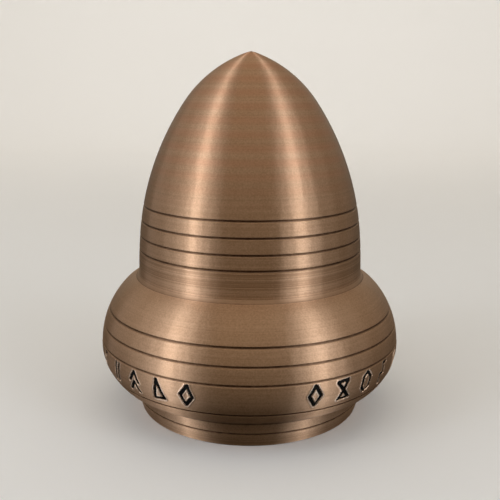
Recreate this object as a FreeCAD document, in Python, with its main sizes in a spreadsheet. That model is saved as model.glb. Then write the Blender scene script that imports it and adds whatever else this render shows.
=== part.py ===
"""Bearing-crown spinning top, standing upside down on its crown with the spin tip up.

Millimetres. The origin is the centre of the crown's resting face, and +Z runs up the spin axis to the tip.
The crown carries a spindle and stands still. A miniature ball bearing on the spindle carries the rotor,
which is everything else: carrier, rim and nose. Turned pieces are half-profiles (r, z) revolved about Z.
"""
import FreeCAD, Part
import math
import os
import re
import Sketcher

DIMENSIONS = {
    # crown: the disc that is held between finger and thumb
    "crown_foot_radius": 14.66,
    "crown_foot_inner_radius": 12.0,
    "crown_edge": 0.28,
    "crown_top_radius": 15.8,
    "crown_wall_top": 4.3,
    "crown_wall_curve": 19.0,
    "crown_thickness": 6.0,
    "crown_dish_depth": 1.6,
    "crown_dish_curve": 45.8,
    "crown_well_outer_radius": 13.0,
    "crown_well_floor": 3.3,
    "crown_boss_radius": 5.5,
    "crown_groove_level": 1.8,
    "crown_groove_radius": 15.17,
    # spindle and what is clamped on it
    "spindle_stud_radius": 2.5,
    "spindle_stud_bottom": 3.2,
    "spindle_hex_flats": 7.4,
    "spindle_flange": 0.9,
    "spindle_shaft_gap": 0.16,
    "shim_radius": 4.2,
    "shim_thickness": 0.3,
    "clamp_washer_radius": 4.1,
    "clamp_washer_thickness": 0.5,
    "spindle_screw_radius": 1.5,
    "spindle_screw_head_radius": 2.75,
    "spindle_screw_head": 1.6,
    "spindle_screw_length": 4.5,
    "spindle_hole_depth": 4.4,
    "socket_flats": 2.0,
    "socket_depth": 1.0,
    # miniature ball bearing, 6.35 x 12.7 x 4.762
    "bearing_bore_radius": 3.175,
    "bearing_radius": 6.35,
    "bearing_width": 4.762,
    "ball_radius": 0.794,
    "ball_circle_radius": 4.7625,
    "race_groove_radius": 0.82,
    "inner_land_radius": 4.3,
    "outer_land_radius": 5.23,
    "bearing_chamfer": 0.2,
    "shield_recess_radius": 5.85,
    "shield_recess": 0.35,
    "shield_thickness": 0.2,
    "shield_inner_radius": 4.42,
    "cage_inner_radius": 4.42,
    "cage_outer_radius": 5.1,
    "cage_width": 2.3,
    "cage_pocket_radius": 0.86,
    # carrier: the hub that holds the bearing in the rim
    "carrier_hub_radius": 8.6,
    "carrier_flange_radius": 12.35,
    "carrier_flange": 1.6,
    "carrier_boss_radius": 7.6,
    "carrier_lip_radius": 5.5,
    "carrier_lip": 0.95,
    "circlip_groove_radius": 6.75,
    "circlip_groove": 0.5,
    "circlip_inner_radius": 5.5,
    "circlip_thickness": 0.46,
    "circlip_gap_angle": 44.0,
    "circlip_lug_radius": 0.75,
    "circlip_hole_radius": 0.35,
    "carrier_screw_circle_radius": 10.4,
    "carrier_screw_radius": 1.0,
    "carrier_screw_hole_radius": 1.1,
    "carrier_screw_head_radius": 1.8,
    "carrier_screw_head": 1.2,
    "carrier_screw_length": 4.5,
    "screw_slot": 0.5,
    "screw_slot_depth": 0.6,
    # rim: the heavy ring
    "rim_lip_level": 4.475,
    "rim_lip_radius": 17.895,
    "rim_heading": 42.85,
    "rim_low_curve": 6.58,
    "rim_low_turn": 46.69,
    "rim_middle_curve": 10.97,
    "rim_middle_turn": 44.71,
    "rim_top_curve": 4.86,
    "rim_top_turn": 22.98,
    "rim_recess_radius": 16.1,
    "rim_recess_top": 6.3,
    "rim_ledge": 9.6,
    "rim_hub_bore_radius": 8.65,
    "rim_bore_radius": 12.4,
    "seat_level": 17.9,
    "groove_width": 0.27,
    "rim_groove_low_level": 6.0,
    "rim_groove_low_radius": 18.86,
    "rim_groove_widest_level": 9.94,
    "rim_groove_widest_radius": 19.73,
    "rim_groove_middle_level": 12.06,
    "rim_groove_middle_radius": 19.4,
    "rim_groove_top_level": 14.09,
    "rim_groove_top_radius": 18.62,
    # stamped marks on the rim
    "mark_level": 8.2,
    "mark_tilt": -9.6,
    "mark_height": 2.6,
    "mark_width": 1.5,
    "mark_pitch": 11.3,
    "mark_start": 22.4,
    "stroke_width": 0.42,
    "stroke_depth": 0.42,
    "stroke_rise": 0.5,
    # nose: the hollow dome with the spin tip
    "nose_foot_radius": 15.27,
    "nose_foot_top": 18.08,
    "nose_fillet": 0.64,
    "nose_wall_radius": 14.88,
    "nose_wall_level": 18.67,
    "nose_heading": 90.72,
    "nose_low_curve": 69.0,
    "nose_low_turn": 4.23,
    "nose_middle_curve": 35.96,
    "nose_middle_turn": 28.98,
    "nose_top_curve": 16.09,
    "nose_top_turn": 36.8,
    "nose_bore_radius": 10.4,
    "nose_bore_level": 28.0,
    "spigot_radius": 12.38,
    "spigot_bottom": 14.0,
    "spigot_chamfer": 0.5,
    "seal_groove_radius": 11.55,
    "seal_groove_bottom": 16.3,
    "seal_groove_top": 17.3,
    "seal_section_radius": 0.41,
    "nose_groove_low_level": 21.84,
    "nose_groove_low_radius": 14.5,
    "nose_groove_second_level": 23.67,
    "nose_groove_second_radius": 14.38,
    "nose_groove_third_level": 25.63,
    "nose_groove_third_radius": 14.16,
    "nose_groove_top_level": 27.59,
    "nose_groove_top_radius": 13.83,
    # spin tip and the set screw behind it
    "tip_radius": 0.6,
    "tip_top": 47.1,
    "tip_point_radius": 0.16,
    "tip_point_level": 47.06,
    "tip_neck_level": 43.5,
    "tip_head_level": 41.5,
    "tip_head_radius": 1.5,
    "tip_clearance": 0.01,
    "set_screw_radius": 2.0,
    "set_screw_length": 3.0,
    "thread_clearance": 0.02,
}

BALLS = 10
CARRIER_SCREWS = 6
MARKS = 29
SMALLEST_SOLID = 0.01  # mm3; anything smaller is a sliver left by a cut

# Each mark is one or more strokes' paths in a cell that runs from -1 to 1 both ways, width and height.
DIAMOND = [[(0, 1), (1, 0), (0, -1), (-1, 0), (0, 1)]]
TRIANGLE = [[(-1, -0.9), (0, 1), (1, -0.9), (-1, -0.9)]]
CHEVRONS = [[(-1, 0), (0, 1), (1, 0)], [(-1, -1), (0, 0), (1, -1)]]
HOURGLASS = [[(-1, 0.9), (1, 0.9), (-1, -0.9), (1, -0.9), (-1, 0.9)]]
SLASHES = [[(-0.9, -1), (-0.1, 1)], [(0.1, -1), (0.9, 1)]]
STAIR = [[(-1, -1), (-1, 0), (0, 0), (0, 1), (1, 1)]]
HEXAGON = [[(0, 1), (0.9, 0.5), (0.9, -0.5), (0, -1), (-0.9, -0.5), (-0.9, 0.5), (0, 1)]]
MARK_SHAPES = (DIAMOND, CHEVRONS, STAIR, HOURGLASS, TRIANGLE, SLASHES, HEXAGON)
MARK_STEP = 3
MARK_LEAN = 7.0
MARK_LEAN_TURN = 137.5

doc = FreeCAD.newDocument("spinning_top")


def make_sheet():
    """The spreadsheet with every driving dimension."""
    sheet = doc.addObject("Spreadsheet::Sheet", "dims")
    for row, (name, value) in enumerate(DIMENSIONS.items(), start=1):
        sheet.set(f"A{row}", name)
        sheet.set(f"B{row}", str(value))
        sheet.setAlias(f"B{row}", name)
    doc.recompute()
    return sheet


def bound(text):
    """An expression with every dimension's name pointed at the spreadsheet."""
    return re.sub(r"[a-z_]+", lambda word: f"dims.{word[0]}" if word[0] in DIMENSIONS else word[0], text)


def value(text):
    """The number that an expression stands for."""
    return float(sheet.evalExpression(bound(text)))


def tangent_arcs(start_r, start_z, heading, arcs):
    """Corners of arcs that run on from each other, turning left, and the expressions of their end."""
    corners = []
    r, z = start_r, start_z
    for radius, turn in arcs:
        corners.append((r, z, radius))
        next_heading = f"({heading} + {turn})"
        r = f"({r} - {radius} * sin({heading}) + {radius} * sin({next_heading}))"
        z = f"({z} + {radius} * cos({heading}) - {radius} * cos({next_heading}))"
        heading = next_heading
    return corners, (r, z)


def new_body(label):
    body = doc.addObject("PartDesign::Body", label)
    body.Label = label
    return body


def new_sketch(body, name, plane="XZ_Plane"):
    """An empty sketch on one of the body's own origin planes."""
    sketch = body.newObject("Sketcher::SketchObject", name)
    support = next(feature for feature in body.Origin.OriginFeatures if feature.Role == plane)
    sketch.AttachmentSupport = [(support, "")]
    sketch.MapMode = "FlatFace"
    return sketch


def arc_between(start, end, radius, turns_left):
    """The arc from start to end, its centre on the left of the way there if turns_left."""
    first, last = (start, end) if turns_left else (end, start)
    chord = last.sub(first)
    to_centre = math.sqrt(max(radius ** 2 - (chord.Length / 2) ** 2, 0.0))
    left = FreeCAD.Vector(-chord.y, chord.x, 0).normalize()
    centre = (first + last) * 0.5 + left * to_centre
    angles = [math.atan2(point.y - centre.y, point.x - centre.x) for point in (first, last)]
    circle = Part.Circle(centre, FreeCAD.Vector(0, 0, 1), radius)
    return Part.ArcOfCircle(circle, angles[0], angles[1])


def bind(sketch, constraint, name, text):
    """Adds a constraint whose value follows an expression."""
    index = sketch.addConstraint(constraint)
    sketch.renameConstraint(index, name)
    sketch.setExpression(f"Constraints.{name}", bound(text))


def add_outline(sketch, corners):
    """A closed outline. A corner is (r, z), or (r, z, radius) where an arc that turns left starts there,
    or (r, z, radius, "right") where it turns right; every entry is an expression."""
    first = sketch.GeometryCount
    points = [FreeCAD.Vector(value(corner[0]), value(corner[1]), 0) for corner in corners]
    ends = []
    for i, corner in enumerate(corners):
        start, end = points[i], points[(i + 1) % len(points)]
        if len(corner) == 2:
            sketch.addGeometry(Part.LineSegment(start, end))
            ends.append((1, 2))
        else:
            turns_left = len(corner) == 3
            sketch.addGeometry(arc_between(start, end, value(corner[2]), turns_left))
            ends.append((1, 2) if turns_left else (2, 1))
    for i, corner in enumerate(corners):
        edge = first + i
        following = (i + 1) % len(corners)
        sketch.addConstraint(
            Sketcher.Constraint("Coincident", edge, ends[i][1], first + following, ends[following][0]))
        if points[i].x == 0:
            sketch.addConstraint(Sketcher.Constraint("PointOnObject", edge, ends[i][0], -2))
        else:
            across = Sketcher.Constraint("DistanceX", -1, 1, edge, ends[i][0], points[i].x)
            bind(sketch, across, f"across_{edge}", corner[0])
        if points[i].y == 0:
            sketch.addConstraint(Sketcher.Constraint("PointOnObject", edge, ends[i][0], -1))
        else:
            up = Sketcher.Constraint("DistanceY", -1, 1, edge, ends[i][0], points[i].y)
            bind(sketch, up, f"up_{edge}", corner[1])
        if len(corner) > 2:
            curve = Sketcher.Constraint("Radius", edge, value(corner[2]))
            bind(sketch, curve, f"curve_{edge}", corner[2])


def box_outline(inner, outer, low, high):
    return [(inner, low), (outer, low), (outer, high), (inner, high)]


def revolve(body, name, outlines, kind="PartDesign::Revolution"):
    """Turns half-profiles about Z, as material or, with PartDesign::Groove, as a cut."""
    sketch = new_sketch(body, f"{name}_profile")
    for outline in outlines:
        add_outline(sketch, outline)
    feature = body.newObject(kind, name)
    feature.Profile = sketch
    feature.ReferenceAxis = (sketch, ["V_Axis"])
    feature.Angle = 360
    doc.recompute()
    return feature


def turned(label, outline):
    body = new_body(label)
    revolve(body, f"{label}_turning", [outline])
    return body


def cut_away(body, make_cut):
    """Runs a cut and makes sure that it took material."""
    before = body.Shape.Volume
    make_cut()
    doc.recompute()
    if body.Shape.Volume >= before:
        raise RuntimeError(f"a cut in {body.Label} removed nothing")


def engrave(body, names, depth_to):
    """Narrow decorative grooves, each named by its level and bottom radius in the sheet."""
    outlines = [
        box_outline(f"{name}_radius", f"{name}_radius + {depth_to}",
                    f"{name}_level - groove_width / 2", f"{name}_level + groove_width / 2")
        for name in names
    ]
    cut_away(body, lambda: revolve(body, f"{body.Name}_grooves", outlines, "PartDesign::Groove"))


def add_polygon(sketch, sides, flats):
    """A regular polygon centred on the origin, given its size across flats."""
    across_corners = value(flats) / math.cos(math.pi / sides)
    corners = []
    for i in range(sides):
        angle = 2 * math.pi * i / sides
        corners.append(FreeCAD.Vector(math.cos(angle), math.sin(angle), 0) * (across_corners / 2))
    for i in range(sides):
        sketch.addGeometry(Part.LineSegment(corners[i], corners[(i + 1) % sides]))
    for i in range(sides):
        sketch.addConstraint(Sketcher.Constraint("Coincident", i, 2, (i + 1) % sides, 1))
    circle = sketch.addGeometry(
        Part.Circle(FreeCAD.Vector(0, 0, 0), FreeCAD.Vector(0, 0, 1), across_corners / 2), True)
    sketch.addConstraint(Sketcher.Constraint("Coincident", circle, 3, -1, 1))
    for i in range(sides):
        sketch.addConstraint(Sketcher.Constraint("PointOnObject", i, 1, circle))
    for i in range(1, sides):
        sketch.addConstraint(Sketcher.Constraint("Equal", 0, i))
    sketch.addConstraint(Sketcher.Constraint("PointOnObject", 0, 1, -1))
    bind(sketch, Sketcher.Constraint("Diameter", circle, across_corners), "across_corners",
         f"{flats} / cos(180 / {sides})")


def hex_prism(body, name, flats, length, level, kind):
    """A hexagonal pad up from a level, or a hexagonal pocket down from it."""
    sketch = new_sketch(body, f"{name}_outline", "XY_Plane")
    sketch.setExpression("AttachmentOffset.Base.z", bound(level))
    add_polygon(sketch, 6, flats)
    feature = body.newObject(kind, name)
    feature.Profile = sketch
    feature.setExpression("Length", bound(length))
    doc.recompute()


def drill(body, name, plane, centre, radius, count):
    """A through hole square to one of the body's planes, repeated evenly about Z."""
    sketch = new_sketch(body, f"{name}_outline", plane)
    middle = FreeCAD.Vector(value(centre[0]), value(centre[1]), 0)
    sketch.addGeometry(Part.Circle(middle, FreeCAD.Vector(0, 0, 1), value(radius)))
    for i, (kind, axis) in enumerate((("DistanceX", -2), ("DistanceY", -1))):
        if middle[i] == 0:
            sketch.addConstraint(Sketcher.Constraint("PointOnObject", 0, 3, axis))
        else:
            bind(sketch, Sketcher.Constraint(kind, -1, 1, 0, 3, middle[i]), f"centre_{i}", centre[i])
    bind(sketch, Sketcher.Constraint("Radius", 0, value(radius)), "hole", radius)
    hole = body.newObject("PartDesign::Pocket", name)
    hole.Profile = sketch
    hole.Type = "ThroughAll"
    hole.SideType = "Symmetric" if plane == "XY_Plane" else "One side"
    doc.recompute()
    pattern = body.newObject("PartDesign::PolarPattern", f"{name}_pattern")
    pattern.Originals = [hole]
    pattern.Axis = (sketch, ["N_Axis" if plane == "XY_Plane" else "V_Axis"])
    pattern.Angle = 360
    pattern.Occurrences = count
    body.Tip = pattern
    doc.recompute()


def cylinder(name, radius, height, x="0", y="0", z="0"):
    """A Part cylinder along Z whose sizes and place are expressions."""
    piece = doc.addObject("Part::Cylinder", name)
    piece.setExpression("Radius", bound(radius))
    piece.setExpression("Height", bound(height))
    for axis, text in zip("xyz", (x, y, z)):
        piece.setExpression(f"Placement.Base.{axis}", bound(text))
    return piece


def boolean(kind, name, base, tool):
    result = doc.addObject(kind, name)
    result.Base = base
    result.Tool = tool
    return result


def group(kind, label, members):
    """A compound or a fusion of several objects."""
    result = doc.addObject(kind, label)
    result.Label = label
    if kind == "Part::Compound":
        result.Links = members
    else:
        result.Shapes = members
    return result


# ---- levels that several pieces share, worked out from the driving dimensions ----
FLANGE_TOP = "(crown_thickness + spindle_flange)"
BEARING_BOTTOM = f"({FLANGE_TOP} + shim_thickness)"
BEARING_TOP = f"({BEARING_BOTTOM} + bearing_width)"
BEARING_MIDDLE = f"({BEARING_BOTTOM} + bearing_width / 2)"
WASHER_TOP = f"({BEARING_TOP} + clamp_washer_thickness)"
SHAFT_TOP = f"({BEARING_TOP} - spindle_shaft_gap)"
CARRIER_FLANGE_TOP = "(rim_ledge + carrier_flange)"


# ---- crown side: what stands still ----
def make_crown():
    """Disc with a finger dish underneath, a well on top and a boss for the spindle."""
    body = turned("crown", [
        ("0", "crown_dish_depth"),
        ("spindle_stud_radius", "spindle_stud_bottom - 0.1"),
        ("spindle_stud_radius", "crown_thickness"),
        ("crown_boss_radius", "crown_thickness"),
        ("crown_boss_radius", "crown_well_floor"),
        ("crown_well_outer_radius", "crown_well_floor"),
        ("crown_well_outer_radius", "crown_thickness"),
        ("crown_top_radius - crown_edge", "crown_thickness"),
        ("crown_top_radius", "crown_thickness - crown_edge"),
        ("crown_top_radius", "crown_wall_top", "crown_wall_curve", "right"),
        ("crown_foot_radius + crown_edge", "crown_edge"),
        ("crown_foot_radius", "0"),
        ("crown_foot_inner_radius", "0", "crown_dish_curve"),
    ])
    engrave(body, ["crown_groove"], "0.8")
    return body


def make_spindle():
    """Shoulder stud: threaded end in the crown, hexagonal flange, and a shaft for the bearing."""
    body = turned("spindle", [
        ("0", "spindle_stud_bottom"),
        ("spindle_stud_radius - thread_clearance - 0.3", "spindle_stud_bottom"),
        ("spindle_stud_radius - thread_clearance", "spindle_stud_bottom + 0.3"),
        ("spindle_stud_radius - thread_clearance", "crown_thickness"),
        ("bearing_bore_radius - 0.005", "crown_thickness"),
        ("bearing_bore_radius - 0.005", f"{SHAFT_TOP} - bearing_chamfer"),
        ("bearing_bore_radius - bearing_chamfer", SHAFT_TOP),
        ("spindle_screw_radius", SHAFT_TOP),
        ("spindle_screw_radius", f"{SHAFT_TOP} - spindle_hole_depth"),
        ("0", f"{SHAFT_TOP} - spindle_hole_depth"),
    ])
    hex_prism(body, "spindle_hexagon", "spindle_hex_flats", "spindle_flange", "crown_thickness",
              "PartDesign::Pad")
    return body


def make_ring(label, inner, outer, low, high):
    return turned(label, box_outline(inner, outer, low, high))


def make_spindle_screw():
    """Button-head screw with a hexagonal socket that clamps the inner race."""
    head_top = f"({WASHER_TOP} + spindle_screw_head)"
    body = turned("spindle_screw", [
        ("0", f"{WASHER_TOP} - spindle_screw_length"),
        ("spindle_screw_radius - thread_clearance", f"{WASHER_TOP} - spindle_screw_length"),
        ("spindle_screw_radius - thread_clearance", WASHER_TOP),
        ("spindle_screw_head_radius", WASHER_TOP),
        ("spindle_screw_head_radius", f"{WASHER_TOP} + 0.4"),
        ("spindle_screw_head_radius - 1.1", head_top),
        ("0", head_top),
    ])
    cut_away(body, lambda: hex_prism(body, "spindle_screw_socket", "socket_flats", "socket_depth",
                                     head_top, "PartDesign::Pocket"))
    return body


def race_outline(back, land, turns):
    """Half-profile of a race with its ball groove; turns is 1 for the inner race and -1 for the outer."""
    reach = f"sqrt(race_groove_radius^2 - (ball_circle_radius - {land})^2)"
    low = (land, f"{BEARING_MIDDLE} - {reach}")
    high = (land, f"{BEARING_MIDDLE} + {reach}")
    chamfer = "bearing_chamfer"
    if turns > 0:
        return [
            (f"{back} + {chamfer}", BEARING_BOTTOM),
            (land, BEARING_BOTTOM),
            (*low, "race_groove_radius", "right"),
            high,
            (land, BEARING_TOP),
            (f"{back} + {chamfer}", BEARING_TOP),
            (back, f"{BEARING_TOP} - {chamfer}"),
            (back, f"{BEARING_BOTTOM} + {chamfer}"),
        ]
    return [
        ("shield_recess_radius", BEARING_BOTTOM),
        (f"{back} - {chamfer}", BEARING_BOTTOM),
        (back, f"{BEARING_BOTTOM} + {chamfer}"),
        (back, f"{BEARING_TOP} - {chamfer}"),
        (f"{back} - {chamfer}", BEARING_TOP),
        ("shield_recess_radius", BEARING_TOP),
        ("shield_recess_radius", f"{BEARING_TOP} - shield_recess"),
        (land, f"{BEARING_TOP} - shield_recess"),
        (*high, "race_groove_radius", "right"),
        low,
        (land, f"{BEARING_BOTTOM} + shield_recess"),
        ("shield_recess_radius", f"{BEARING_BOTTOM} + shield_recess"),
    ]


def make_bearing_races():
    inner = turned("bearing_inner_race", race_outline("bearing_bore_radius", "inner_land_radius", 1))
    outer = turned("bearing_outer_race", race_outline("bearing_radius", "outer_land_radius", -1))
    return [inner, outer]


def make_balls():
    """One ball for each place on the ball circle."""
    balls = []
    for i in range(BALLS):
        ball = doc.addObject("Part::Sphere", f"ball_{i + 1}")
        angle = f"{i} * 360 / {BALLS}"
        ball.setExpression("Radius", bound("ball_radius"))
        ball.setExpression("Placement.Base.x", bound(f"ball_circle_radius * cos({angle})"))
        ball.setExpression("Placement.Base.y", bound(f"ball_circle_radius * sin({angle})"))
        ball.setExpression("Placement.Base.z", bound(BEARING_MIDDLE))
        balls.append(ball)
    return group("Part::Compound", "bearing_balls", balls)


def make_cage():
    """Ring with a pocket drilled through it for each ball."""
    body = turned("bearing_cage", box_outline("cage_inner_radius", "cage_outer_radius",
                                              f"{BEARING_MIDDLE} - cage_width / 2",
                                              f"{BEARING_MIDDLE} + cage_width / 2"))
    cut_away(body, lambda: drill(body, "cage_pocket", "YZ_Plane", ("0", BEARING_MIDDLE),
                                 "cage_pocket_radius", BALLS))
    return body


# ---- rotor side: what spins ----
def make_shields():
    inset = "(shield_recess - shield_thickness)"
    lower = make_ring("bearing_shield_lower", "shield_inner_radius", "shield_recess_radius",
                      f"{BEARING_BOTTOM} + {inset}", f"{BEARING_BOTTOM} + shield_recess")
    upper = make_ring("bearing_shield_upper", "shield_inner_radius", "shield_recess_radius",
                      f"{BEARING_TOP} - shield_recess", f"{BEARING_TOP} - {inset}")
    return [lower, upper]


def make_carrier():
    """Hub pressed over the bearing, with a flange that is screwed to the rim's ledge."""
    lip_top = f"({BEARING_TOP} + carrier_lip)"
    body = turned("bearing_carrier", [
        ("bearing_radius", "rim_recess_top"),
        ("carrier_hub_radius", "rim_recess_top"),
        ("carrier_hub_radius", "rim_ledge"),
        ("carrier_flange_radius", "rim_ledge"),
        ("carrier_flange_radius", CARRIER_FLANGE_TOP),
        ("carrier_boss_radius", CARRIER_FLANGE_TOP),
        ("carrier_boss_radius", lip_top),
        ("carrier_lip_radius", lip_top),
        ("carrier_lip_radius", BEARING_TOP),
        ("bearing_radius", BEARING_TOP),
        ("bearing_radius", BEARING_BOTTOM),
        ("circlip_groove_radius", BEARING_BOTTOM),
        ("circlip_groove_radius", f"{BEARING_BOTTOM} - circlip_groove"),
        ("bearing_radius", f"{BEARING_BOTTOM} - circlip_groove"),
    ])
    centre = ("carrier_screw_circle_radius", "0")
    cut_away(body, lambda: drill(body, "carrier_screw_hole", "XY_Plane", centre,
                                 "carrier_screw_hole_radius", CARRIER_SCREWS))
    return body


def make_circlip():
    """Internal retaining ring: an open ring with a drilled lug at each end."""
    level = f"{BEARING_BOTTOM} - 0.02 - circlip_thickness"
    outer = cylinder("circlip_disc", "circlip_groove_radius - 0.03", "circlip_thickness", z=level)
    inner = cylinder("circlip_opening", "circlip_inner_radius", "circlip_thickness", z=level)
    ring = boolean("Part::Cut", "circlip_ring", outer, inner)
    gap = cylinder("circlip_gap", "circlip_groove_radius + 1", "circlip_thickness", z=level)
    gap.setExpression("Angle", bound("circlip_gap_angle"))
    open_ring = boolean("Part::Cut", "circlip_open_ring", ring, gap)
    middle = "(bearing_radius - circlip_lug_radius - 0.1)"
    lugs = []
    holes = []
    for i, angle in enumerate(("(-3)", "(circlip_gap_angle + 3)")):
        place = {"x": f"{middle} * cos{angle}", "y": f"{middle} * sin{angle}", "z": level}
        for pieces, kind in ((lugs, "lug"), (holes, "hole")):
            pieces.append(cylinder(f"circlip_{kind}_{i + 1}", f"circlip_{kind}_radius",
                                   "circlip_thickness", **place))
    with_lugs = group("Part::MultiFuse", "circlip_with_lugs", [open_ring, *lugs])
    all_holes = group("Part::Compound", "circlip_holes", holes)
    return boolean("Part::Cut", "bearing_circlip", with_lugs, all_holes)


def make_carrier_screw(number):
    """One slotted cheese-head screw, its head on the carrier's flange."""
    angle = f"{number} * 360 / {CARRIER_SCREWS}"
    place = {"x": f"carrier_screw_circle_radius * cos({angle})",
             "y": f"carrier_screw_circle_radius * sin({angle})"}
    shank = cylinder(f"carrier_screw_shank_{number}", "carrier_screw_radius - thread_clearance",
                     "carrier_screw_length", z=f"{CARRIER_FLANGE_TOP} - carrier_screw_length", **place)
    head = cylinder(f"carrier_screw_head_{number}", "carrier_screw_head_radius", "carrier_screw_head",
                    z=CARRIER_FLANGE_TOP, **place)
    whole = group("Part::MultiFuse", f"carrier_screw_whole_{number}", [shank, head])
    slot = doc.addObject("Part::Box", f"carrier_screw_slot_{number}")
    slot.setExpression("Length", bound("3 * carrier_screw_head_radius"))
    slot.setExpression("Width", bound("screw_slot"))
    slot.setExpression("Height", bound("carrier_screw_head"))
    slot.setExpression("Placement.Base.x", bound(f"{place['x']} - 1.5 * carrier_screw_head_radius"))
    slot.setExpression("Placement.Base.y", bound(f"{place['y']} - screw_slot / 2"))
    slot.setExpression("Placement.Base.z",
                       bound(f"{CARRIER_FLANGE_TOP} + carrier_screw_head - screw_slot_depth"))
    return boolean("Part::Cut", f"carrier_screw_{number}", whole, slot)


def make_carrier_screws():
    screws = [make_carrier_screw(i) for i in range(CARRIER_SCREWS)]
    return group("Part::Compound", "carrier_screws", screws)


def make_rim_blank():
    """The heavy ring before its marks are stamped."""
    arcs = [("rim_low_curve", "rim_low_turn"), ("rim_middle_curve", "rim_middle_turn"),
            ("rim_top_curve", "rim_top_turn")]
    outside, end = tangent_arcs("rim_lip_radius", "rim_lip_level", "rim_heading", arcs)
    body = turned("rim_blank", [
        ("rim_recess_radius", "rim_lip_level"),
        *outside,
        end,
        (end[0], "seat_level"),
        ("rim_bore_radius", "seat_level"),
        ("rim_bore_radius", "rim_ledge"),
        ("rim_hub_bore_radius", "rim_ledge"),
        ("rim_hub_bore_radius", "rim_recess_top"),
        ("rim_recess_radius", "rim_recess_top"),
    ])
    names = [f"rim_groove_{place}" for place in ("low", "widest", "middle", "top")]
    engrave(body, names, "1")
    centre = ("carrier_screw_circle_radius", "0")
    cut_away(body, lambda: drill(body, "rim_screw_hole", "XY_Plane", centre, "carrier_screw_radius",
                                 CARRIER_SCREWS))
    return body


def mark_placement(number):
    """Local frame of a mark: x along the rim, y up the rim, z out of its surface."""
    azimuth = math.radians(value("mark_start") + number * value("mark_pitch"))
    tilt = math.radians(value("mark_tilt"))
    outward = FreeCAD.Vector(math.sin(azimuth) * math.cos(tilt), -math.cos(azimuth) * math.cos(tilt),
                             math.sin(tilt))
    along = FreeCAD.Vector(math.cos(azimuth), math.sin(azimuth), 0)
    radius = value("rim_lip_radius - rim_low_curve * sin(rim_heading) + rim_low_curve * cos(mark_tilt)")
    place = FreeCAD.Vector(math.sin(azimuth) * radius, -math.cos(azimuth) * radius, value("mark_level"))
    lean = MARK_LEAN * math.sin(math.radians(number * MARK_LEAN_TURN))
    frame = FreeCAD.Rotation(along, outward.cross(along), outward, "ZXY")
    return FreeCAD.Placement(place, frame * FreeCAD.Rotation(FreeCAD.Vector(0, 0, 1), lean))


def make_stroke(name, frame, start, end):
    """A straight chisel stroke through the rim's surface, from start to end in the mark's cell."""
    half_width = value("mark_width") / 2
    half_height = value("mark_height") / 2
    width = value("stroke_width")
    first = FreeCAD.Vector(start[0] * half_width, start[1] * half_height, 0)
    last = FreeCAD.Vector(end[0] * half_width, end[1] * half_height, 0)
    way = last - first
    stroke = doc.addObject("Part::Box", name)
    across, up = (f"({abs(end[i] - start[i])} * {size} / 2)^2"
                  for i, size in enumerate(("mark_width", "mark_height")))
    stroke.setExpression("Length", bound(f"sqrt({across} + {up}) + stroke_width"))
    stroke.setExpression("Width", bound("stroke_width"))
    stroke.setExpression("Height", bound("stroke_depth + stroke_rise"))
    turn = FreeCAD.Rotation(FreeCAD.Vector(0, 0, 1), math.degrees(math.atan2(way.y, way.x)))
    corner = FreeCAD.Vector(-width / 2, -width / 2, -value("stroke_depth"))
    own_corner = FreeCAD.Placement(corner, FreeCAD.Rotation())
    stroke.Placement = frame * FreeCAD.Placement(first, turn) * own_corner
    return stroke


def make_mark(number):
    """All strokes of one mark, fused."""
    frame = mark_placement(number)
    shape = MARK_SHAPES[number * MARK_STEP % len(MARK_SHAPES)]
    strokes = []
    for path in shape:
        for start, end in zip(path, path[1:]):
            name = f"mark_{number + 1}_stroke_{len(strokes) + 1}"
            strokes.append(make_stroke(name, frame, start, end))
    return group("Part::MultiFuse", f"mark_{number + 1}", strokes)


def make_rim_and_marks():
    """The rim with its stamped marks cut out, and the enamel that fills them."""
    blank = make_rim_blank()
    marks = group("Part::Compound", "marks", [make_mark(i) for i in range(MARKS)])
    rim = boolean("Part::Cut", "rim", blank, marks)
    enamel = boolean("Part::Common", "mark_enamel", marks, blank)
    return [rim, enamel]


def make_nose():
    """Hollow dome: threaded spigot, shoulder with a small fillet, and a stepped bore for the spin tip."""
    arcs = [("nose_low_curve", "nose_low_turn"), ("nose_middle_curve", "nose_middle_turn"),
            ("nose_top_curve", "nose_top_turn")]
    outside, end = tangent_arcs("nose_wall_radius", "nose_wall_level", "nose_heading", arcs)
    thread_bottom = "nose_bore_level + sqrt(nose_bore_radius^2 - set_screw_radius^2)"
    body = turned("nose_shell", [
        ("nose_bore_radius", "spigot_bottom"),
        ("spigot_radius - spigot_chamfer", "spigot_bottom"),
        ("spigot_radius", "spigot_bottom + spigot_chamfer"),
        ("spigot_radius", "seal_groove_bottom"),
        ("seal_groove_radius", "seal_groove_bottom"),
        ("seal_groove_radius", "seal_groove_top"),
        ("spigot_radius", "seal_groove_top"),
        ("spigot_radius", "seat_level"),
        ("nose_foot_radius", "seat_level"),
        ("nose_foot_radius", "nose_foot_top", "nose_fillet", "right"),
        *outside,
        end,
        (end[0], "tip_neck_level"),
        ("tip_head_radius", "tip_neck_level"),
        ("tip_head_radius", "tip_head_level"),
        ("set_screw_radius", "tip_head_level"),
        ("set_screw_radius", thread_bottom, "nose_bore_radius", "right"),
        ("nose_bore_radius", "nose_bore_level"),
    ])
    names = [f"nose_groove_{place}" for place in ("low", "second", "third", "top")]
    engrave(body, names, "1")
    return body


def make_seal():
    """O-ring in the spigot's groove."""
    ring = doc.addObject("Part::Torus", "nose_seal")
    ring.setExpression("Radius1", bound("(seal_groove_radius + spigot_radius) / 2"))
    ring.setExpression("Radius2", bound("seal_section_radius"))
    ring.setExpression("Placement.Base.z", bound("(seal_groove_bottom + seal_groove_top) / 2"))
    return ring


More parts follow.
